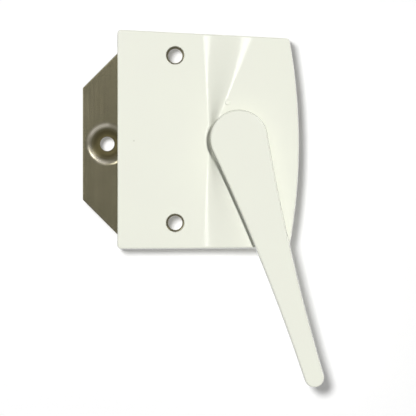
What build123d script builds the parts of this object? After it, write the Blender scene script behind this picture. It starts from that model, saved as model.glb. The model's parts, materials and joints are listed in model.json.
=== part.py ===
from build123d import *
import math
import os

# A surface-mounted casement sash lock, sizes in mm.
# Each piece is drawn lying down: x to the right, y up the window frame, z out of the frame's face.
# At the end the pieces are stood up, so that the frame's face is the XZ plane and the room is at -Y.

# Screws into the window frame
screw_pitch = 60.325
screw_hole_d = 5.2
flange_hole_d = 6.5
flange_hole_round = 0.4
screw_edge = 9.55
tab_screw_x = -24.6

# Housing
pivot_x = 22.9
left_x = -21.0
right_from_pivot = 18.4
right_bulge = 3.5
top_fall = 3.2
low_rise = 0.4
corner_r = 1.6
wall = 2.2
flange_top = 9.0
plateau_top = 12.5
draft = 2
rim_round = 0.5

# Ramp between the flange and the raised top
crease_x = 9.6
ramp_turn = 25
hub_overhang = 1.0
hub_edge_ease = 1.2
hub_foot_ease = 2.0
hub_wall_run = 2.6
end_edge_x = 30.5
end_edge_ease = 6.8
end_foot_ease = 5.3
ramp_overrun = 1.5

# Base plate
plate_t = 1.6
plate_fit = 0.4
plate_edge_round = 0.3
tab_x = -33.4
tab_half = 20.2
tab_drop = 1.6
tab_corner_r = 0.8
dish_depth = 1.2
dish_margin = 1.0
tab_dish_r = 7.2
tab_dish_run = 3.4
tab_dish_bend_r = 4.0
frame_dish_r = 5.0
frame_dish_run = 1.8
frame_dish_bend_r = 0.5

# Spindle and bush
spindle_r = 6.0
spindle_run = 0.05
spindle_clear = 0.15
bush_wall = 0.95
bush_flange_lip = 0.7
bush_flange_t = 0.8
bush_sink = 0.3
bush_length = 8.6
bush_fit = 0.02

# Handle
handle_lean = 17.55
handle_length = 89.7
tip_r = 3.6
side_sweep_r = 750
hub_height = 7.0
tip_height = 5.2
handle_draft = 3
handle_round = 0.6
handle_under_round = 0.4
handle_wall = 2.0
core_depth = 3.2
core_rib_t = 1.6

# Stop lug under the hub
swing = 144
lug_angle = 22
lug_width = 1.1
lug_height = 1.0
lug_edge = 1.0
lug_gap = 0.35
lug_play_angle = 1

# Staking studs, screw bosses, posts and ribs
stud_r = 2.0
stud_gap = 0.1
stud_head_r = 3.2
stud_head_t = 0.9
stud_head_round = 0.7
stud_post_r = 4.2
screw_boss_seat = 1.0
left_stud_x = -12.0
left_stud_y = 21.0
right_stud_inset = 6.8
right_stud_drop = 8.2
rib_t = 1.8
rib_base = 4.0

# Spring washer and pawl
washer_space = 0.9
spring_t = 0.45
spring_bow_r = 130
spring_gap = 0.15
pawl_t = 3.0
pawl_eye_r = 9.5
pawl_reach = 20.0
pawl_half = 7.0
pawl_corner_r = 3.5
pawl_crank = 5.4
pawl_crank_x = 8.6
pawl_crank_run = 3.2
pawl_bend_r = 1.2
lead_in_width = 5.0
lead_in_depth = 1.4
square_gap = 0.05
square_short = 0.2

# Pawl screw and its washers
screw_r = 2.4
screw_length = 12
thread_gap = 0.1
tapped_spare = 3
washer_gap = 0.3
washer_r = 5.2
washer_t = 1.0
lock_washer_r = 4.4
lock_washer_t = 1.2
lock_slit = 0.7
lock_slit_turn = 25
head_r = 4.6
head_t = 3.4
head_round = 1.8
recess_width = 1.1
recess_span = 4.4
recess_depth = 1.8

# Sizes that follow from the ones above
left_half = screw_pitch / 2 + screw_edge
right_top = left_half - top_fall
right_low = left_half - low_rise
right_x = pivot_x + right_from_pivot
plate_back = dish_depth
plate_front = plate_back + plate_t
inside_x = left_x + wall + plate_fit
notch_half = tab_half + inside_x - tab_x
flange_under = flange_top - wall
roof_under = plateau_top - wall
ramp_end_y = left_half + ramp_overrun
ramp_reach = right_x + right_bulge - pivot_x + 2 * wall
bush_bore_r = spindle_r + spindle_run
bush_outer_r = bush_bore_r + bush_wall
bush_flange_r = bush_outer_r + bush_flange_lip
lug_outer_r = bush_flange_r + 2 * lug_gap + lug_width
lug_mid_r = lug_outer_r - lug_width / 2
hub_r = lug_outer_r + lug_edge
hub_edge_r = hub_r - hub_overhang
hub_foot_r = hub_edge_r + hub_wall_run
handle_under = plateau_top - bush_sink + bush_flange_t
groove_floor = plateau_top - lug_height - lug_gap
boss_r = lug_outer_r + lug_gap + rib_t / 2
screw_boss_r = frame_dish_r + dish_margin + screw_boss_seat
pawl_front = plate_back - washer_space
pawl_back = pawl_front - pawl_t
spring_r = pawl_eye_r
square = 4 / 3 * spindle_r
square_end = pawl_back + square_short
washer_hole_r = screw_r + washer_gap
washer_back = pawl_back - washer_t
lock_back = washer_back - lock_washer_t
head_back = lock_back - head_t

pivot = Pos(pivot_x, 0)
frame_spots = [(0, screw_pitch / 2), (0, -screw_pitch / 2)]
left_studs = [(left_stud_x, left_stud_y), (left_stud_x, -left_stud_y)]
right_stud_x = right_x - right_stud_inset
right_stud_y = right_top - right_stud_drop
right_studs = [(right_stud_x, right_stud_y), (right_stud_x, -right_stud_y)]


# A round bar and a round tube between two heights
def post(radius, low, high):
    return Pos(0, 0, low) * extrude(Circle(radius), high - low)


def tube(outer, inner, low, high):
    return Pos(0, 0, low) * extrude(Circle(outer) - Circle(inner), high - low)


# Section of the ramp, u measured from the pivot towards the flange: one smooth line
# that leaves the flange level and meets the raised top level, as gently as the eases say
def ramp_section(foot_u, edge_u, foot_ease, edge_ease, foot, top):
    slope = Bezier((foot_u, foot), (foot_u - foot_ease, foot), (edge_u + edge_ease, top), (edge_u, top))
    corners = [(edge_u, top), (-ramp_reach, top), (-ramp_reach, 0), (foot_u, 0), (foot_u, foot)]
    return make_face(slope + Polyline(*corners))


# The raised form: its ramp opens from a steep wall round the hub to a shallow slope at each end
def raised_form(inset):
    foot = flange_top - inset
    top = plateau_top - inset
    hub_foot = hub_foot_r - inset
    hub_edge = hub_edge_r - inset
    hub_section = ramp_section(hub_foot, hub_edge, hub_foot_ease, hub_edge_ease, foot, top)
    end_foot = pivot_x - crease_x - inset
    end_edge = pivot_x - end_edge_x - inset
    end_section = ramp_section(end_foot, end_edge, end_foot_ease, end_edge_ease, foot, top)
    turn = Vector(0, 1, 0).rotate(Axis.Z, -ramp_turn)
    hub_plane = Plane((pivot_x, 0, 0), (-turn.Y, turn.X, 0), turn)
    end_plane = Plane((pivot_x, ramp_end_y, 0), (-1, 0, 0), (0, 1, 0))
    upper = loft([hub_plane * hub_section, end_plane * end_section], ruled=True)
    nose_section = hub_section & Pos(ramp_reach, 0) * Rectangle(2 * ramp_reach, 4 * plateau_top)
    nose = revolve(hub_plane * nose_section, Axis((pivot_x, 0, 0), (0, 0, 1)), 2 * ramp_turn)
    return upper + mirror(upper, Plane.XZ) + nose


# Housing outline, tapered to the right and closed by a shallow arc
top_left = (left_x, left_half)
top_right = (right_x, right_top)
low_left = (left_x, -left_half)
low_right = (right_x, -right_low)
right_arc = ThreePointArc(low_right, (right_x + right_bulge, 0), top_right)
outline = make_face(Polyline(top_right, top_left, low_left, low_right) + right_arc)
outline = fillet(outline.vertices(), corner_r)
inner_outline = offset(outline, -wall, kind=Kind.INTERSECTION)

# Housing, outer form with rounded rim
housing = extrude(outline, flange_top) + raised_form(0)
housing &= extrude(outline, plateau_top, taper=draft)
flanks = housing.faces().filter_by(lambda f: f.bounding_box().min.Z < 0.01 < f.bounding_box().max.Z - 1)
rims = flanks.edges().filter_by(lambda e: e.bounding_box().min.Z > 1)
housing = fillet(rims, rim_round)

# Hollow back, with the notch for the base plate's tab
hollow = extrude(inner_outline, flange_under) + (raised_form(wall) & extrude(inner_outline, plateau_top))
housing -= hollow
housing -= Pos(left_x, -tab_drop, plate_front / 2) * Box(4 * wall, 2 * notch_half, plate_front)

# Bearing boss, ribs, screw bosses and posts inside the hollow, whose feet are the seat of the base plate
rib_height = roof_under - rib_base
across = Pos(0, 0, rib_base + rib_height / 2) * Box(4 * ramp_reach, rib_t, rib_height)
along = Pos(0, 0, rib_base + rib_height / 2) * Box(rib_t, 2 * left_half, rib_height)
housing += pivot * (across + along) & hollow
housing += pivot * post(boss_r, plate_front, roof_under)
for spot in frame_spots:
    housing += Pos(*spot) * post(screw_boss_r, plate_front, flange_under)
for spot in left_studs:
    housing += Pos(*spot) * post(stud_post_r, plate_front, flange_under)
for spot in right_studs:
    housing += Pos(*spot) * post(stud_post_r, plate_front, roof_under)

# Studs, staked over behind the base plate
stud_head = post(stud_head_r, plate_back - stud_head_t, plate_back)
stud_head = fillet(stud_head.edges().sort_by(Axis.Z)[0], stud_head_round)
stud = post(stud_r, plate_back, plate_front + wall / 2) + stud_head
for spot in left_studs + right_studs:
    housing += Pos(*spot) * stud

# Bore and seat of the bush, stop groove, screw holes
housing -= pivot * post(bush_outer_r + bush_fit, 0, plateau_top)
housing -= pivot * post(bush_flange_r + lug_gap, plateau_top - bush_sink, plateau_top)
groove_angle = swing + lug_angle + 2 * lug_play_angle
groove_start = handle_lean - 90 - lug_angle / 2 - lug_play_angle
groove_line = CenterArc((0, 0), lug_mid_r, groove_start, groove_angle)
groove = extrude(trace(groove_line, lug_width + 2 * lug_gap), plateau_top - groove_floor)
housing -= pivot * Pos(0, 0, groove_floor) * groove
for spot in frame_spots:
    housing -= Pos(*spot) * post(flange_hole_d / 2, plate_front, flange_top)
hole_rims = housing.edges().filter_by(GeomType.CIRCLE).filter_by_position(Axis.Z, flange_top, flange_top)
housing = fillet(hole_rims.filter_by(lambda e: e.radius == flange_hole_d / 2), flange_hole_round)

# Base plate: inside the housing's rim on three sides, out through the notch as a tapered tab on the fourth
inside = offset(outline, -wall - plate_fit, kind=Kind.INTERSECTION)
strip = Pos((tab_x + inside_x) / 2, -tab_drop) * Rectangle(inside_x - tab_x, 2 * notch_half)
slant = 2 * left_half
tapered = make_face(Polyline((0, -tab_half), (0, tab_half), (slant, tab_half + slant),
                             (slant, -tab_half - slant), close=True))
tapered = Pos(tab_x, -tab_drop) * tapered
base_plate = Pos(0, 0, plate_back) * extrude((inside + strip) & tapered, plate_t)
base_plate = fillet(base_plate.edges().filter_by(Axis.Z).group_by(Axis.X)[0], tab_corner_r)
base_plate = fillet(base_plate.faces().sort_by(Axis.Z)[-1].outer_wire().edges(), plate_edge_round)


# Dished screw hole, pressed down until its floor bears on the frame
def dish(radius, run, bend_r):
    floor_r = radius - run
    edge_r = radius + dish_margin
    skew = dish_depth / 3
    hole_r = screw_hole_d / 2
    back_line = [(hole_r, 0), (floor_r - skew, 0), (radius - skew, plate_back), (edge_r, plate_back)]
    front_line = [(edge_r, plate_front), (radius, plate_front), (floor_r, plate_t), (hole_r, plate_t)]
    section = make_face(Polyline(*back_line, *front_line, close=True))
    bends = section.vertices().filter_by(lambda v: hole_r + skew < v.X < edge_r - skew)
    return revolve(Plane.XZ * fillet(bends, bend_r), Axis.Z)


for spot in frame_spots:
    base_plate -= Pos(*spot) * post(frame_dish_r + dish_margin, plate_back, plate_front)
    base_plate += Pos(*spot) * dish(frame_dish_r, frame_dish_run, frame_dish_bend_r)
tab_spot = Pos(tab_screw_x, -tab_drop)
base_plate -= tab_spot * post(tab_dish_r + dish_margin, plate_back, plate_front)
base_plate += tab_spot * dish(tab_dish_r, tab_dish_run, tab_dish_bend_r)
for spot in left_studs + right_studs:
    base_plate -= Pos(*spot) * post(stud_r + stud_gap, plate_back, plate_front)
base_plate -= pivot * post(spindle_r + spindle_clear, plate_back, plate_front)

# Flanged bush
spindle_bush = tube(bush_outer_r, bush_bore_r, plateau_top - bush_length, plateau_top)
spindle_bush += tube(bush_flange_r, bush_bore_r, plateau_top - bush_sink, handle_under)
spindle_bush = pivot * spindle_bush


# Outline of the lever along x: a round hub and a round tip joined by hollow sides, all tangent
def lever_outline(inset):
    hub = hub_r - inset
    tip = tip_r - inset
    sweep = side_sweep_r + inset
    far = Vector(handle_length, 0)
    bow_x = (handle_length**2 + (sweep + hub) ** 2 - (sweep + tip) ** 2) / (2 * handle_length)
    bow = Vector(bow_x, math.sqrt((sweep + hub) ** 2 - bow_x**2))
    hub_end = bow.normalized() * hub
    tip_end = far + (bow - far).normalized() * tip
    waist = bow + ((hub_end + tip_end) / 2 - bow).normalized() * sweep
    side = ThreePointArc(hub_end, waist, tip_end)
    edges = side + mirror(side, Plane.XZ)
    edges += ThreePointArc(hub_end, (-hub, 0), (hub_end.X, -hub_end.Y))
    edges += ThreePointArc(tip_end, (handle_length + tip, 0), (tip_end.X, -tip_end.Y))
    return make_face(edges)


# Lever with drafted sides, its top falling towards the tip, cored out below
lever_base = lever_outline(0)
lever_top = lever_outline(hub_height * math.tan(math.radians(handle_draft)))
lever = loft([lever_base, Pos(0, 0, hub_height) * lever_top], ruled=True)
fall = math.degrees(math.atan((hub_height - tip_height) / (handle_length + hub_r)))
above = Pos(handle_length, 0, hub_height) * Box(2 * handle_length, 4 * hub_r, 2 * hub_height)
lever -= Pos(-hub_r, 0, hub_height) * Rot(0, fall, 0) * above
lever = fillet(lever.faces().sort_by(Axis.Z)[-1].edges(), handle_round)
lever = fillet(lever.faces().sort_by(Axis.Z)[0].edges(), handle_under_round)
core = lever_outline(handle_wall) - Circle(hub_r + handle_wall)
core -= Pos(handle_length / 2, 0) * Rectangle(core_rib_t, 2 * hub_r)
lever -= extrude(core, core_depth)

# Stop lug under the hub
lug_line = CenterArc((0, 0), lug_mid_r, -lug_angle / 2, lug_angle)
lug = extrude(trace(lug_line, lug_width), groove_floor + lug_gap - handle_under)
lever = Pos(0, 0, handle_under) * Rot(0, 0, handle_lean - 90) * (lever + lug)

# Spindle cast on the handle, squared for the pawl and tapped for its screw
lever += post(spindle_r, pawl_front, handle_under)
lever += Pos(0, 0, square_end) * extrude(Rectangle(square, square), pawl_front - square_end)
lever -= post(screw_r + thread_gap, square_end, lock_back + screw_length + tapped_spare)
lever_handle = pivot * lever

# Curved spring washer
bow = Cylinder(spring_bow_r, 4 * spring_r) - Cylinder(spring_bow_r - spring_t, 4 * spring_r)
bow = Pos(0, 0, plate_back - spring_gap - spring_bow_r) * Rot(90, 0, 0) * bow
spring_washer = pivot * (bow & tube(spring_r, spindle_r + spindle_clear, pawl_front, plate_back))

# Pawl: a strip cranked away from the plate, cut to an eye and a square nose with a lead-in
crank_end = pawl_crank_x + pawl_crank_run
nose_front = pawl_front - pawl_crank
nose_back = pawl_back - pawl_crank
strip_side = make_face(Polyline(
    (-pawl_eye_r, pawl_front), (pawl_crank_x, pawl_front), (crank_end, nose_front), (pawl_reach, nose_front),
    (pawl_reach, nose_back), (crank_end - pawl_bend_r, nose_back), (pawl_crank_x - pawl_bend_r, pawl_back),
    (-pawl_eye_r, pawl_back), close=True))
strip_bends = strip_side.vertices().filter_by(lambda v: -pawl_eye_r < v.X < pawl_reach)
strip_side = fillet(strip_bends, pawl_bend_r)
nose = Pos(pawl_reach / 2, 0) * Rectangle(pawl_reach, 2 * pawl_half)
nose = fillet(nose.vertices().group_by(Axis.X)[-1], pawl_corner_r)
pawl_plan = Pos(0, 0, nose_back) * extrude(Circle(pawl_eye_r) + nose, pawl_front - nose_back)
locking_pawl = extrude(Plane.XZ * strip_side, pawl_eye_r, both=True) & pawl_plan
lead_in_turn = math.degrees(math.atan(lead_in_depth / lead_in_width))
lead_in = Pos(0, -pawl_reach, pawl_t) * Box(2 * (pawl_reach - crank_end), 2 * pawl_reach, 2 * pawl_t)
locking_pawl -= Pos(pawl_reach, lead_in_width - pawl_half, nose_front) * Rot(lead_in_turn, 0, 0) * lead_in
square_hole = square + 2 * square_gap
locking_pawl -= Pos(0, 0, pawl_back) * extrude(Rectangle(square_hole, square_hole), pawl_t)
locking_pawl = pivot * locking_pawl

# Washers and screw behind the pawl
pawl_washer = pivot * tube(washer_r, washer_hole_r, washer_back, pawl_back)
slit = Rot(0, lock_slit_turn, 0) * Box(lock_slit, lock_washer_r, 3 * lock_washer_t)
slit = Pos(0, (lock_washer_r + washer_hole_r) / 2, (lock_back + washer_back) / 2) * slit
lock_washer = pivot * (tube(lock_washer_r, washer_hole_r, lock_back, washer_back) - slit)
head = post(head_r, head_back, lock_back)
head = fillet(head.edges().sort_by(Axis.Z)[0], head_round)
recess = Rectangle(recess_span, recess_width) + Rectangle(recess_width, recess_span)
head -= Pos(0, 0, head_back) * extrude(recess, recess_depth)
pawl_screw = pivot * (head + post(screw_r, lock_back, lock_back + screw_length))

# The pieces stood up against the frame's face
os.makedirs("parts", exist_ok=True)
export_step(Plane.XZ * housing, "parts/housing.step")
export_step(Plane.XZ * base_plate, "parts/base_plate.step")
export_step(Plane.XZ * spindle_bush, "parts/spindle_bush.step")
export_step(Plane.XZ * lever_handle, "parts/lever_handle.step")
export_step(Plane.XZ * spring_washer, "parts/spring_washer.step")
export_step(Plane.XZ * locking_pawl, "parts/locking_pawl.step")
export_step(Plane.XZ * pawl_washer, "parts/pawl_washer.step")
export_step(Plane.XZ * lock_washer, "parts/lock_washer.step")
export_step(Plane.XZ * pawl_screw, "parts/pawl_screw.step")
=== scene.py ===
import json
import math

import bpy
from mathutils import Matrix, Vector


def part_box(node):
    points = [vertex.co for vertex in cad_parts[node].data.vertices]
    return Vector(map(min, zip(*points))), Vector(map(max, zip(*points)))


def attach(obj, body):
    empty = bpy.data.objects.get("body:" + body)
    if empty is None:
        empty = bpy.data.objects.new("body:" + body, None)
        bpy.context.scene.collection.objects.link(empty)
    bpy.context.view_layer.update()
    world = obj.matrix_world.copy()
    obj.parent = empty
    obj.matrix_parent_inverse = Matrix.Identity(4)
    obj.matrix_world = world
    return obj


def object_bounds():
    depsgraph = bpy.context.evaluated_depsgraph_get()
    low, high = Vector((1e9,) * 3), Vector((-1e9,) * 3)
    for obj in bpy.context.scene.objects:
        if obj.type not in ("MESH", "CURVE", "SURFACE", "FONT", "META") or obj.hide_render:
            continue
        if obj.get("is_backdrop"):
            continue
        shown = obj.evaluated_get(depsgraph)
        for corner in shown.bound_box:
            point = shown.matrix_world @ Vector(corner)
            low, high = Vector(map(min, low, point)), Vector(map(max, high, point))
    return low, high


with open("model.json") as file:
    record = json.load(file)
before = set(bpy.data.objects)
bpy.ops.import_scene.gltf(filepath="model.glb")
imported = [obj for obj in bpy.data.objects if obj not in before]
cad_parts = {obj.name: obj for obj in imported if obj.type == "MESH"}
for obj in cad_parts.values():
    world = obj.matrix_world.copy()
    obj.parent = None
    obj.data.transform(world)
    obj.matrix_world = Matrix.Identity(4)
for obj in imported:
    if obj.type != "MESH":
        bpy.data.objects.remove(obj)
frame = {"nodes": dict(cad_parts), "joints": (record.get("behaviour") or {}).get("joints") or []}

mm = 0.001
cadLow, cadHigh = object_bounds()
nodes = frame["nodes"]
pivot = Vector(frame["joints"][0]["pos_m"])
print("frame loaded:", len(nodes), "pieces")

# octaves of a noise texture, and the range that holds nearly all of its values
noise = {"soft": 1, "plain": 2, "fine": 3, "low": 0.3, "high": 0.7}


def toLinear(hexCode):
    parts = [int(hexCode[i:i + 2], 16) / 255 for i in (1, 3, 5)]
    return [p / 12.92 if p <= 0.04045 else ((p + 0.055) / 1.055) ** 2.4 for p in parts] + [1]


def inMetres(sizesMm):
    return [size * mm for size in sizesMm]


# scale of a noise texture whose features are this many millimetres wide
def scaleFor(featureMm):
    return 1 / (featureMm * mm)


# one node with its settings; a feed is either another node's socket or a plain value
def addNode(tree, kind, feeds=None, **settings):
    node = tree.nodes.new(kind)
    for name, value in settings.items():
        setattr(node, name, value)
    for socket, feed in (feeds or {}).items():
        if isinstance(feed, bpy.types.NodeSocket):
            tree.links.new(feed, node.inputs[socket])
        else:
            node.inputs[socket].default_value = feed
    return node


def newMaterial(name, values):
    material = bpy.data.materials.new(name)
    material.use_nodes = True
    shader = material.node_tree.nodes["Principled BSDF"]
    for socket, value in values.items():
        shader.inputs[socket].default_value = value
    return material, material.node_tree, shader


def feedShader(tree, shader, feeds):
    for socket, feed in feeds.items():
        tree.links.new(feed, shader.inputs[socket])


def dress(material, *names):
    for name in names:
        nodes[name].data.materials.clear()
        nodes[name].data.materials.append(material)


# white stove enamel sprayed on a zinc die casting: satin, a faint orange peel, slightly uneven in tone;
# where the casting is staked or turns in its bush it stays bare, a dull grey
enamel = {
    "ior": 1.5,
    "colour": "#E6E8DA",
    "mottle": "#E4E5D9",
    "mottleMm": 14,
    "roughness": 0.16,
    "peelMm": 1.4,
    "peelDepthMm": 0.004,
    "nibAtMm": (-14.8, -9.0, -0.6),  # a grain of dust under the paint of the flange
    "nibMm": 0.45,
    "nib": "#C9CABB",
    "bare": "#A3A5A6",
    "bareRoughness": 0.42,
}
# the studs stand in two pairs, one of each pair above the middle and one as far below it
staking = {
    "leftMm": (-12.0, 21.0),
    "rightMm": (34.5, 28.3125),
    "headMm": 3.3,
    "plateBackMm": -1.25,
}
spindle = {"shoulderMm": -12.95}


# part of the housing that the staking tool has squashed: the four stud heads behind the base plate
def stakedHeads(tree, place):
    axes = addNode(tree, "ShaderNodeSeparateXYZ", {"Vector": place}).outputs
    up = addNode(tree, "ShaderNodeMath", {0: axes["Z"]}, operation="ABSOLUTE").outputs["Value"]
    flat = addNode(tree, "ShaderNodeCombineXYZ", {"X": axes["X"], "Z": up}).outputs["Vector"]
    away = []
    for side in ("leftMm", "rightMm"):
        across, high = inMetres(staking[side])
        stud = addNode(tree, "ShaderNodeVectorMath", {0: flat, 1: (across, 0, high)}, operation="DISTANCE")
        away.append(stud.outputs["Value"])
    near = addNode(tree, "ShaderNodeMath", {0: away[0], 1: away[1]}, operation="MINIMUM").outputs["Value"]
    inside = addNode(tree, "ShaderNodeMath", {0: near, 1: staking["headMm"] * mm}, operation="LESS_THAN")
    behind = addNode(tree, "ShaderNodeMath", {
        0: axes["Y"],
        1: staking["plateBackMm"] * mm,
    }, operation="GREATER_THAN")
    both = addNode(tree, "ShaderNodeMath", {
        0: inside.outputs["Value"],
        1: behind.outputs["Value"],
    }, operation="MULTIPLY")
    return both.outputs["Value"]


# part of the lever that runs in the bush
def spindleEnd(tree, place):
    axes = addNode(tree, "ShaderNodeSeparateXYZ", {"Vector": place}).outputs
    below = addNode(tree, "ShaderNodeMath", {
        0: axes["Y"],
        1: spindle["shoulderMm"] * mm,
    }, operation="GREATER_THAN")
    return below.outputs["Value"]


def stoveEnamel(name, bareOf):
    material, tree, shader = newMaterial(name, {"IOR": enamel["ior"]})
    place = addNode(tree, "ShaderNodeTexCoord").outputs["Object"]
    mottle = addNode(tree, "ShaderNodeTexNoise", {
        "Vector": place,
        "Scale": scaleFor(enamel["mottleMm"]),
        "Detail": noise["plain"],
    })
    tint = addNode(tree, "ShaderNodeMix", {
        "Factor": mottle.outputs["Fac"],
        "A": toLinear(enamel["colour"]),
        "B": toLinear(enamel["mottle"]),
    }, data_type="RGBA")
    nibAway = addNode(tree, "ShaderNodeVectorMath", {
        0: place,
        1: inMetres(enamel["nibAtMm"]),
    }, operation="DISTANCE")
    nib = addNode(tree, "ShaderNodeMapRange", {
        "Value": nibAway.outputs["Value"],
        "From Min": enamel["nibMm"] * mm,
        "From Max": 0,
    })
    fleck = addNode(tree, "ShaderNodeMix", {
        "Factor": nib.outputs["Result"],
        "A": tint.outputs["Result"],
        "B": toLinear(enamel["nib"]),
    }, data_type="RGBA")
    bare = bareOf(tree, place)
    colour = addNode(tree, "ShaderNodeMix", {
        "Factor": bare,
        "A": fleck.outputs["Result"],
        "B": toLinear(enamel["bare"]),
    }, data_type="RGBA")
    gloss = addNode(tree, "ShaderNodeMix", {
        "Factor": bare,
        "A": enamel["roughness"],
        "B": enamel["bareRoughness"],
    })
    peel = addNode(tree, "ShaderNodeTexNoise", {
        "Vector": place,
        "Scale": scaleFor(enamel["peelMm"]),
        "Detail": noise["soft"],
    })
    bump = addNode(tree, "ShaderNodeBump", {
        "Height": peel.outputs["Fac"],
        "Distance": enamel["peelDepthMm"] * mm,
    })
    feedShader(tree, shader, {
        "Base Color": colour.outputs["Result"],
        "Roughness": gloss.outputs["Result"],
        "Metallic": bare,
        "Normal": bump.outputs["Normal"],
    })
    return material


# cold-rolled steel strip with an oiled phosphate skin: olive grey and smooth, faint lines along the rolling
plateSteel = {
    "colour": "#706B57",
    "stain": "#635F4C",
    "stainMm": 9,
    "roughness": (0.12, 0.16),
    "lineMm": 0.6,  # real rolling lines are some ten times finer, these are as coarse as they need to show
    "lineRun": 30,
    "lineDepthMm": 0.0004,
}
# the pawl is the same strip, tumbled after hardening: greyer and duller than the plate behind it
pawlSteel = {
    "colour": "#7B776B",
    "stain": "#6C685D",
    "stainMm": 6,
    "roughness": (0.22, 0.32),
    "lineMm": 0.6,  # drawn coarser than real lines, to show
    "lineRun": 12,
    "lineDepthMm": 0.0008,
}
# oil-tempered spring strip: blue-black, as dull as the pawl
springSteel = {
    "colour": "#4B4E57",
    "stain": "#3F434C",
    "stainMm": 5,
    "roughness": (0.24, 0.34),
    "lineMm": 0.4,  # drawn coarser than real lines, to show
    "lineRun": 30,
    "lineDepthMm": 0.002,
}
# dish of the tab: oil has dried brown in it, which also paints shade into its hollow, and the press tool has
# rubbed its rim to grey steel in patches, which also paints a highlight round the rim
tabDish = {
    "atMm": (-24.6, 0, -1.6),
    "oilAndShade": "#504A33",
    "fullMm": 4.6,
    "noneMm": 6.9,
    "oilAndShadeRoughness": 0.45,
    "rubbedAndHighlight": "#B8B2A3",
    "rubbedAndHighlightRoughness": 0.3,
    "rimMm": 7.2,
    "rimHalfMm": 1.35,
    "patchMm": 5,
    "patchFrom": 0.28,
    "patchTo": 0.58,
}


# lays the oil, also painted shade, and then the rubbed rim, also a painted highlight, over the strip's own
# colour and roughness
def dishWearAndPaintedLight(tree, place, colour, roughness):
    centre = inMetres(tabDish["atMm"])
    away = addNode(tree, "ShaderNodeVectorMath", {0: place, 1: centre}, operation="DISTANCE").outputs["Value"]
    # the oil: darker brown towards the middle of the dish, a stain that also stands as painted shade in its
    # hollow
    oilAndShadeCover = addNode(tree, "ShaderNodeMapRange", {
        "Value": away,
        "From Min": tabDish["noneMm"] * mm,
        "From Max": tabDish["fullMm"] * mm,
    }, interpolation_type="SMOOTHSTEP")
    # the rubbed rim: a lighter grey ring in patches, worn steel that also stands as a painted highlight along
    # the rim
    past = addNode(tree, "ShaderNodeMath", {0: away, 1: tabDish["rimMm"] * mm}, operation="SUBTRACT")
    offRim = addNode(tree, "ShaderNodeMath", {0: past.outputs["Value"]}, operation="ABSOLUTE")
    rim = addNode(tree, "ShaderNodeMapRange", {
        "Value": offRim.outputs["Value"],
        "From Min": tabDish["rimHalfMm"] * mm,
        "From Max": 0,
    }, interpolation_type="SMOOTHSTEP")
    patches = addNode(tree, "ShaderNodeTexNoise", {
        "Vector": place,
        "Scale": scaleFor(tabDish["patchMm"]),
        "Detail": noise["soft"],
    })
    patchy = addNode(tree, "ShaderNodeMapRange", {
        "Value": patches.outputs["Fac"],
        "From Min": tabDish["patchFrom"],
        "From Max": tabDish["patchTo"],
    })
    rubbedAndHighlight = addNode(tree, "ShaderNodeMath", {
        0: rim.outputs["Result"],
        1: patchy.outputs["Result"],
    }, operation="MULTIPLY")
    coats = {"oilAndShade": oilAndShadeCover.outputs["Result"], "rubbedAndHighlight": rubbedAndHighlight.outputs["Value"]}
    for coat, cover in coats.items():
        colour = addNode(tree, "ShaderNodeMix", {
            "Factor": cover,
            "A": colour,
            "B": toLinear(tabDish[coat]),
        }, data_type="RGBA").outputs["Result"]
        roughness = addNode(tree, "ShaderNodeMix", {
            "Factor": cover,
            "A": roughness,
            "B": tabDish[coat + "Roughness"],
        }).outputs["Result"]
    return colour, roughness


def rolledStrip(name, look, run, dished=False):
    material, tree, shader = newMaterial(name, {"Metallic": 1})
    place = addNode(tree, "ShaderNodeTexCoord").outputs["Object"]
    stretch = [1 / look["lineRun"] if axis == run else 1 for axis in "XYZ"]
    drawn = addNode(tree, "ShaderNodeMapping", {"Vector": place, "Scale": stretch})
    lines = addNode(tree, "ShaderNodeTexNoise", {
        "Vector": drawn.outputs["Vector"],
        "Scale": scaleFor(look["lineMm"]),
        "Detail": noise["plain"],
    })
    stains = addNode(tree, "ShaderNodeTexNoise", {
        "Vector": place,
        "Scale": scaleFor(look["stainMm"]),
        "Detail": noise["fine"],
    })
    tint = addNode(tree, "ShaderNodeMix", {
        "Factor": stains.outputs["Fac"],
        "A": toLinear(look["colour"]),
        "B": toLinear(look["stain"]),
    }, data_type="RGBA")
    gloss = addNode(tree, "ShaderNodeMapRange", {
        "Value": lines.outputs["Fac"],
        "From Min": noise["low"],
        "From Max": noise["high"],
        "To Min": look["roughness"][0],
        "To Max": look["roughness"][1],
    })
    bump = addNode(tree, "ShaderNodeBump", {
        "Height": lines.outputs["Fac"],
        "Distance": look["lineDepthMm"] * mm,
    })
    colour, roughness = tint.outputs["Result"], gloss.outputs["Result"]
    if dished:
        colour, roughness = dishWearAndPaintedLight(tree, place, colour, roughness)
    feedShader(tree, shader, {
        "Base Color": colour,
        "Roughness": roughness,
        "Normal": bump.outputs["Normal"],
    })
    return material


# bright zinc plating, passivated: silver with faint blue and straw clouds, finely grained
zincPlating = {
    "colour": "#A9AFB8",
    "cloud": "#B3AE9E",
    "cloudMm": 3,
    "roughness": (0.22, 0.38),
    "grainMm": 0.5,  # plating grain is finer, this is as coarse as it needs to show
    "grainDepthMm": 0.004,
}
# natural acetal, injection moulded: milky off-white, waxy, with the fine grain of a spark-eroded mould
acetal = {
    "ior": 1.48,
    "colour": "#E6E5DB",
    "cloud": "#DEDBCB",
    "cloudMm": 4,
    "roughness": (0.32, 0.46),
    "grainMm": 0.5,  # drawn coarser than the mould's grain, to show
    "grainDepthMm": 0.006,
}


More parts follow.
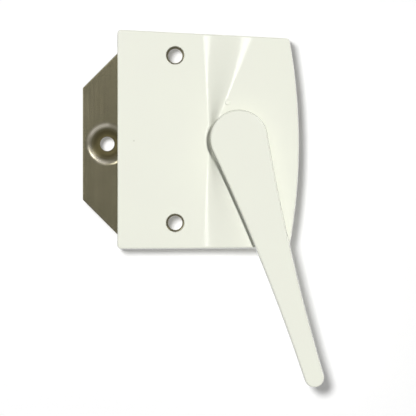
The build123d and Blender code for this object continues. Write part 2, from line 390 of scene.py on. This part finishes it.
def grained(name, look, values):
    material, tree, shader = newMaterial(name, values)
    place = addNode(tree, "ShaderNodeTexCoord").outputs["Object"]
    clouds = addNode(tree, "ShaderNodeTexNoise", {
        "Vector": place,
        "Scale": scaleFor(look["cloudMm"]),
        "Detail": noise["plain"],
    })
    grain = addNode(tree, "ShaderNodeTexNoise", {
        "Vector": place,
        "Scale": scaleFor(look["grainMm"]),
        "Detail": noise["plain"],
    })
    tint = addNode(tree, "ShaderNodeMix", {
        "Factor": clouds.outputs["Fac"],
        "A": toLinear(look["colour"]),
        "B": toLinear(look["cloud"]),
    }, data_type="RGBA")
    gloss = addNode(tree, "ShaderNodeMapRange", {
        "Value": grain.outputs["Fac"],
        "From Min": noise["low"],
        "From Max": noise["high"],
        "To Min": look["roughness"][0],
        "To Max": look["roughness"][1],
    })
    bump = addNode(tree, "ShaderNodeBump", {
        "Height": grain.outputs["Fac"],
        "Distance": look["grainDepthMm"] * mm,
    })
    feedShader(tree, shader, {
        "Base Color": tint.outputs["Result"],
        "Roughness": gloss.outputs["Result"],
        "Normal": bump.outputs["Normal"],
    })
    return material


housingEnamel = stoveEnamel("stoveEnamelOnStakedZincCasting", stakedHeads)
leverEnamel = stoveEnamel("stoveEnamelOnZincLever", spindleEnd)
platedZinc = grained("brightZincPlating", zincPlating, {"Metallic": 1})
dress(housingEnamel, "housing")
dress(leverEnamel, "lever_handle")
dress(rolledStrip("coldRolledPhosphatedSteel", plateSteel, "Z", dished=True), "base_plate")
dress(rolledStrip("tumbledPawlSteel", pawlSteel, "X"), "locking_pawl")
dress(rolledStrip("oilTemperedSpringSteel", springSteel, "X"), "spring_washer")
dress(platedZinc, "pawl_washer", "lock_washer", "pawl_screw")
dress(grained("mouldedNaturalAcetal", acetal, {"IOR": acetal["ior"]}), "spindle_bush")
print("materials set on", len(nodes), "pieces")


# a tree with named sizes as its inputs; the spots come in as the carrier's own points
def newTree(name, sizes):
    tree = bpy.data.node_groups.new(name, "GeometryNodeTree")
    tree.interface.new_socket("Geometry", in_out="INPUT", socket_type="NodeSocketGeometry")
    for size in sizes:
        tree.interface.new_socket(size, in_out="INPUT", socket_type="NodeSocketFloat")
    tree.interface.new_socket("Geometry", in_out="OUTPUT", socket_type="NodeSocketGeometry")
    return tree, addNode(tree, "NodeGroupInput").outputs


def finishTree(tree, geometry, material):
    real = addNode(tree, "GeometryNodeRealizeInstances", {"Geometry": geometry})
    painted = addNode(tree, "GeometryNodeSetMaterial", {
        "Geometry": real.outputs["Geometry"],
        "Material": material,
    })
    addNode(tree, "NodeGroupOutput", {"Geometry": painted.outputs["Geometry"]})
    return tree


# runs a tree on its spots and keeps the outcome as a plain mesh on one body
def makePiece(name, tree, spots, sizes, body):
    points = bpy.data.meshes.new(name + "Spots")
    points.from_pydata(spots, [], [])
    carrier = bpy.data.objects.new(name + "Spots", points)
    bpy.context.scene.collection.objects.link(carrier)
    modifier = carrier.modifiers.new("nodes", "NODES")
    modifier.node_group = tree
    for item in tree.interface.items_tree:
        if item.in_out == "INPUT" and item.name in sizes:
            modifier[item.identifier] = sizes[item.name] * mm
    ready = carrier.evaluated_get(bpy.context.evaluated_depsgraph_get())
    piece = bpy.data.objects.new(name, bpy.data.meshes.new_from_object(ready))
    bpy.data.objects.remove(carrier)
    bpy.context.scene.collection.objects.link(piece)
    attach(piece, body)
    print(name, len(piece.data.polygons), "faces")


towardsFrame = (-math.pi / 2, 0, 0)  # turns a shape's own up to +Y
# points round a ring, round a wire, in one turn of the thread, and round and up a blob
steps = {"ring": 36, "wire": 8, "turn": 28, "blobRound": 24, "blobUp": 12}


# a raised bead round a flat disc, one at each spot, facing the window frame
def toolMarkTree(name, material):
    tree, given = newTree(name, ("Radius", "Bead", "Rise"))
    ring = addNode(tree, "GeometryNodeCurvePrimitiveCircle", {
        "Resolution": steps["ring"],
        "Radius": given["Radius"],
    })
    wire = addNode(tree, "GeometryNodeCurvePrimitiveCircle", {
        "Resolution": steps["wire"],
        "Radius": given["Bead"],
    })
    bead = addNode(tree, "GeometryNodeCurveToMesh", {
        "Curve": ring.outputs["Curve"],
        "Profile Curve": wire.outputs["Curve"],
    })
    disc = addNode(tree, "GeometryNodeFillCurve", {"Curve": ring.outputs["Curve"]}, mode="NGONS")
    rise = addNode(tree, "ShaderNodeCombineXYZ", {"Z": given["Rise"]})
    lifted = addNode(tree, "GeometryNodeTransform", {
        "Geometry": disc.outputs["Mesh"],
        "Translation": rise.outputs["Vector"],
    })
    mark = addNode(tree, "GeometryNodeJoinGeometry", {"Geometry": bead.outputs["Mesh"]})
    tree.links.new(lifted.outputs["Geometry"], mark.inputs["Geometry"])
    placed = addNode(tree, "GeometryNodeInstanceOnPoints", {
        "Points": given["Geometry"],
        "Instance": mark.outputs["Geometry"],
        "Rotation": towardsFrame,
    })
    return finishTree(tree, placed.outputs["Instances"], material)


# a round ridge wound along the screw
def threadTree(name, material):
    tree, given = newTree(name, ("Radius", "Pitch", "Length", "Ridge"))
    turns = addNode(tree, "ShaderNodeMath", {0: given["Length"], 1: given["Pitch"]}, operation="DIVIDE")
    path = addNode(tree, "GeometryNodeCurveSpiral", {
        "Resolution": steps["turn"],
        "Rotations": turns.outputs["Value"],
        "Start Radius": given["Radius"],
        "End Radius": given["Radius"],
        "Height": given["Length"],
    })
    wire = addNode(tree, "GeometryNodeCurvePrimitiveCircle", {
        "Resolution": steps["wire"],
        "Radius": given["Ridge"],
    })
    ridge = addNode(tree, "GeometryNodeCurveToMesh", {
        "Curve": path.outputs["Curve"],
        "Profile Curve": wire.outputs["Curve"],
        "Fill Caps": True,
    })
    placed = addNode(tree, "GeometryNodeInstanceOnPoints", {
        "Points": given["Geometry"],
        "Instance": ridge.outputs["Mesh"],
        "Rotation": towardsFrame,
    })
    return finishTree(tree, placed.outputs["Instances"], material)


# a low round blob at each spot, half of it below the surface
def blobTree(name, material):
    tree, given = newTree(name, ("Radius", "Rise"))
    ball = addNode(tree, "GeometryNodeMeshUVSphere", {
        "Segments": steps["blobRound"],
        "Rings": steps["blobUp"],
        "Radius": given["Radius"],
    })
    squash = addNode(tree, "ShaderNodeMath", {0: given["Rise"], 1: given["Radius"]}, operation="DIVIDE")
    size = addNode(tree, "ShaderNodeCombineXYZ", {"X": 1, "Y": 1, "Z": squash.outputs["Value"]})
    smooth = addNode(tree, "GeometryNodeSetShadeSmooth", {"Geometry": ball.outputs["Mesh"]})
    placed = addNode(tree, "GeometryNodeInstanceOnPoints", {
        "Points": given["Geometry"],
        "Instance": smooth.outputs["Geometry"],
        "Rotation": towardsFrame,
        "Scale": size.outputs["Vector"],
    })
    return finishTree(tree, placed.outputs["Instances"], material)


# marks of the spinning tool on the staked heads
stakeMark = {"headBackMm": -0.3, "sizes": {"Radius": 1.7, "Bead": 0.14, "Rise": 0.04}}
stakeTree = toolMarkTree("stakeMark", housingEnamel)
stakeSpots = []
for side in ("leftMm", "rightMm"):
    across, high = staking[side]
    for up in (high, -high):
        stakeSpots.append(inMetres((across, stakeMark["headBackMm"], up)))
makePiece("stakeMarks", stakeTree, stakeSpots, stakeMark["sizes"], "housing")

# marks of the ejector pins in the cored underside of the lever
pinMark = {
    "leanDeg": 17.55,
    "alongMm": (21, 36, 53, 70),
    "floorMm": -16.2,
    "sizes": {"Radius": 1.25, "Bead": 0.1, "Rise": 0.05},
}
pinTree = toolMarkTree("ejectorMark", leverEnamel)
lean = math.radians(pinMark["leanDeg"])
pinSpots = []
for along in inMetres(pinMark["alongMm"]):
    pinSpots.append((pivot.x + along * math.sin(lean), pinMark["floorMm"] * mm, -along * math.cos(lean)))
makePiece("ejectorMarks", pinTree, pinSpots, pinMark["sizes"], "handle")

# rolled thread of the pawl screw, in the gap between its shank and the tapped hole
thread = {"fromTipMm": 0.6, "sizes": {"Radius": 2.2, "Pitch": 0.8, "Length": 9.6, "Ridge": 0.27}}
threadNodes = threadTree("rolledThread", platedZinc)
tip = (pivot.x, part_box("pawl_screw")[0][1] + thread["fromTipMm"] * mm, pivot.z)
makePiece("screwThread", threadNodes, [tip], thread["sizes"], "handle")

# a blob of paint that has gathered on the raised top beside the hub, low enough for the lever to pass over;
# a ray from in front of the lock finds the paint's surface there
paintBlob = {"xMm": 18.9, "zMm": 13.1, "aheadMm": 10, "sizes": {"Radius": 1.0, "Rise": 0.3}}
blobNodes = blobTree("paintBlob", housingEnamel)
ahead = (paintBlob["xMm"] * mm, cadLow.y - paintBlob["aheadMm"] * mm, paintBlob["zMm"] * mm)
intoFrame = (0, 1, 0)
blobSpot = nodes["housing"].ray_cast(ahead, intoFrame)[1]
makePiece("paintBlob", blobNodes, [blobSpot], paintBlob["sizes"], "housing")
print("tool marks, thread and paint blob made")

# camera: square to the window frame, some way off with a long lens
view = {
    "frameMm": 150.1,
    "centreXMm": 11.85,
    "centreZMm": -24.8,
    "planeYMm": -5.0,
    "distance": 1.4,
    "sensorMm": 36,
}
camera = bpy.data.objects.new("camera", bpy.data.cameras.new("camera"))
camera.data.sensor_width = view["sensorMm"]
camera.data.lens = view["sensorMm"] * view["distance"] / (view["frameMm"] * mm)
camera.location = (view["centreXMm"] * mm, view["planeYMm"] * mm - view["distance"], view["centreZMm"] * mm)
camera.rotation_euler = (math.pi / 2, 0, 0)
bpy.context.scene.collection.objects.link(camera)
bpy.context.scene.camera = camera

# white paper just behind the lock, clear when it is seen from behind;
# metal doesn't mirror it, so the plate at the back shows the room and not the dark of its own shadow
sheetSet = {"gapMm": 0.5, "size": 4, "white": 0.8, "glow": 0.2}
sheetMesh = bpy.data.meshes.new("sheet")
half = sheetSet["size"] / 2
sheetY = cadHigh.y + sheetSet["gapMm"] * mm
corners = [(-half, sheetY, -half), (half, sheetY, -half), (half, sheetY, half), (-half, sheetY, half)]
sheetMesh.from_pydata(corners, [], [(0, 1, 2, 3)])
sheet = bpy.data.objects.new("sheet", sheetMesh)
bpy.context.scene.collection.objects.link(sheet)
sheet.visible_shadow = False
sheet.visible_glossy = False
paper, tree, shader = newMaterial("whitePaper", {
    "Base Color": [sheetSet["white"]] * 3 + [1],
    "Roughness": 1,
    "Specular IOR Level": 0,
    "Emission Color": [1, 1, 1, 1],
    "Emission Strength": sheetSet["glow"],
})
back = addNode(tree, "ShaderNodeNewGeometry").outputs["Backfacing"]
clear = addNode(tree, "ShaderNodeBsdfTransparent").outputs["BSDF"]
mixed = addNode(tree, "ShaderNodeMixShader", {"Fac": back, 1: shader.outputs["BSDF"], 2: clear})
tree.links.new(mixed.outputs["Shader"], tree.nodes["Material Output"].inputs["Surface"])
sheetMesh.materials.append(paper)
sheet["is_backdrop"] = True

# lamps: share is the part of full white that each gives, or a strip would give, a face parallel to the frame;
# the key and the back lamp light the lock and aren't mirrored in it, the strips are only mirrored in it,
# and the paper lamp lights nothing but the sheet
lamps = {
    "key": {"azimuth": 8, "elevation": 5, "size": 0.16, "tall": 0.16, "share": 0.94, "distance": 3},
    "leftStrip": {"azimuth": -13, "elevation": 9, "size": 0.85, "tall": 1.15, "share": 0.17, "distance": 3},
    "rightStrip": {"azimuth": 22, "elevation": 18, "size": 0.9, "tall": 0.8, "share": 0.1, "distance": 3},
    "rimStrip": {"azimuth": 45, "elevation": 40, "size": 0.6, "tall": 0.6, "share": 0.1, "distance": 3},
    "back": {"azimuth": 160, "elevation": 35, "size": 0.8, "tall": 0.8, "share": 0.5, "distance": 3},
    "backStrip": {"azimuth": 160, "elevation": 35, "size": 1.2, "tall": 1.2, "share": 0.18, "distance": 3},
    "paperLamp": {"azimuth": -7, "elevation": 6.5, "size": 0.2, "tall": 0.2, "share": 0.9, "distance": 1.4},
}
target = (cadLow + cadHigh) / 2
sheetOnly = bpy.data.collections.new("sheetOnly")
sheetOnly.objects.link(sheet)
notSheet = bpy.data.collections.new("notSheet")
notSheet.objects.link(sheet)
notSheet.collection_objects[0].light_linking.link_state = "EXCLUDE"
for name, lamp in lamps.items():
    side = math.radians(lamp["azimuth"])
    up = math.radians(lamp["elevation"])
    aim = Vector((math.sin(side) * math.cos(up), -math.cos(side) * math.cos(up), math.sin(up)))
    data = bpy.data.lights.new(name, "AREA")
    data.shape = "ELLIPSE"
    data.size = lamp["size"]
    data.size_y = lamp["tall"]
    data.energy = math.pi ** 2 * lamp["distance"] ** 2 * lamp["share"] / abs(aim.y)
    item = bpy.data.objects.new(name, data)
    item.location = target + aim * lamp["distance"]
    item.rotation_euler = aim.to_track_quat("Z", "Y").to_euler()
    item.light_linking.receiver_collection = sheetOnly if name == "paperLamp" else notSheet
    item.visible_glossy = name.endswith("Strip")
    item.visible_diffuse = not name.endswith("Strip")
    bpy.context.scene.collection.objects.link(item)

# room: white to the eye and to metal, weaker as the light that falls on the lock, most from the lower left
room = {"level": 0.13, "right": -0.07, "up": -0.09, "seen": 0.8}
world = bpy.data.worlds.new("room")
bpy.context.scene.world = world
world.use_nodes = True
tree = world.node_tree
direction = addNode(tree, "ShaderNodeTexCoord").outputs["Generated"]
tilt = addNode(tree, "ShaderNodeVectorMath", {
    0: direction,
    1: (room["right"], 0, room["up"]),
}, operation="DOT_PRODUCT")
level = addNode(tree, "ShaderNodeMath", {0: tilt.outputs["Value"], 1: room["level"]}, operation="ADD")
ray = addNode(tree, "ShaderNodeLightPath").outputs
shiny = addNode(tree, "ShaderNodeMath", {
    0: ray["Is Glossy Ray"],
    1: ray["Is Transmission Ray"],
}, operation="ADD")
seen = addNode(tree, "ShaderNodeMath", {
    0: ray["Is Camera Ray"],
    1: shiny.outputs["Value"],
}, operation="ADD", use_clamp=True)
strength = addNode(tree, "ShaderNodeMix", {
    "Factor": seen.outputs["Value"],
    "A": level.outputs["Value"],
    "B": room["seen"],
})
tree.links.new(strength.outputs["Result"], tree.nodes["Background"].inputs["Strength"])
tree.nodes["Background"].inputs["Color"].default_value = [1, 1, 1, 1]
bpy.context.scene.view_settings.view_transform = "Standard"
print("camera and light set")

low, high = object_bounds()
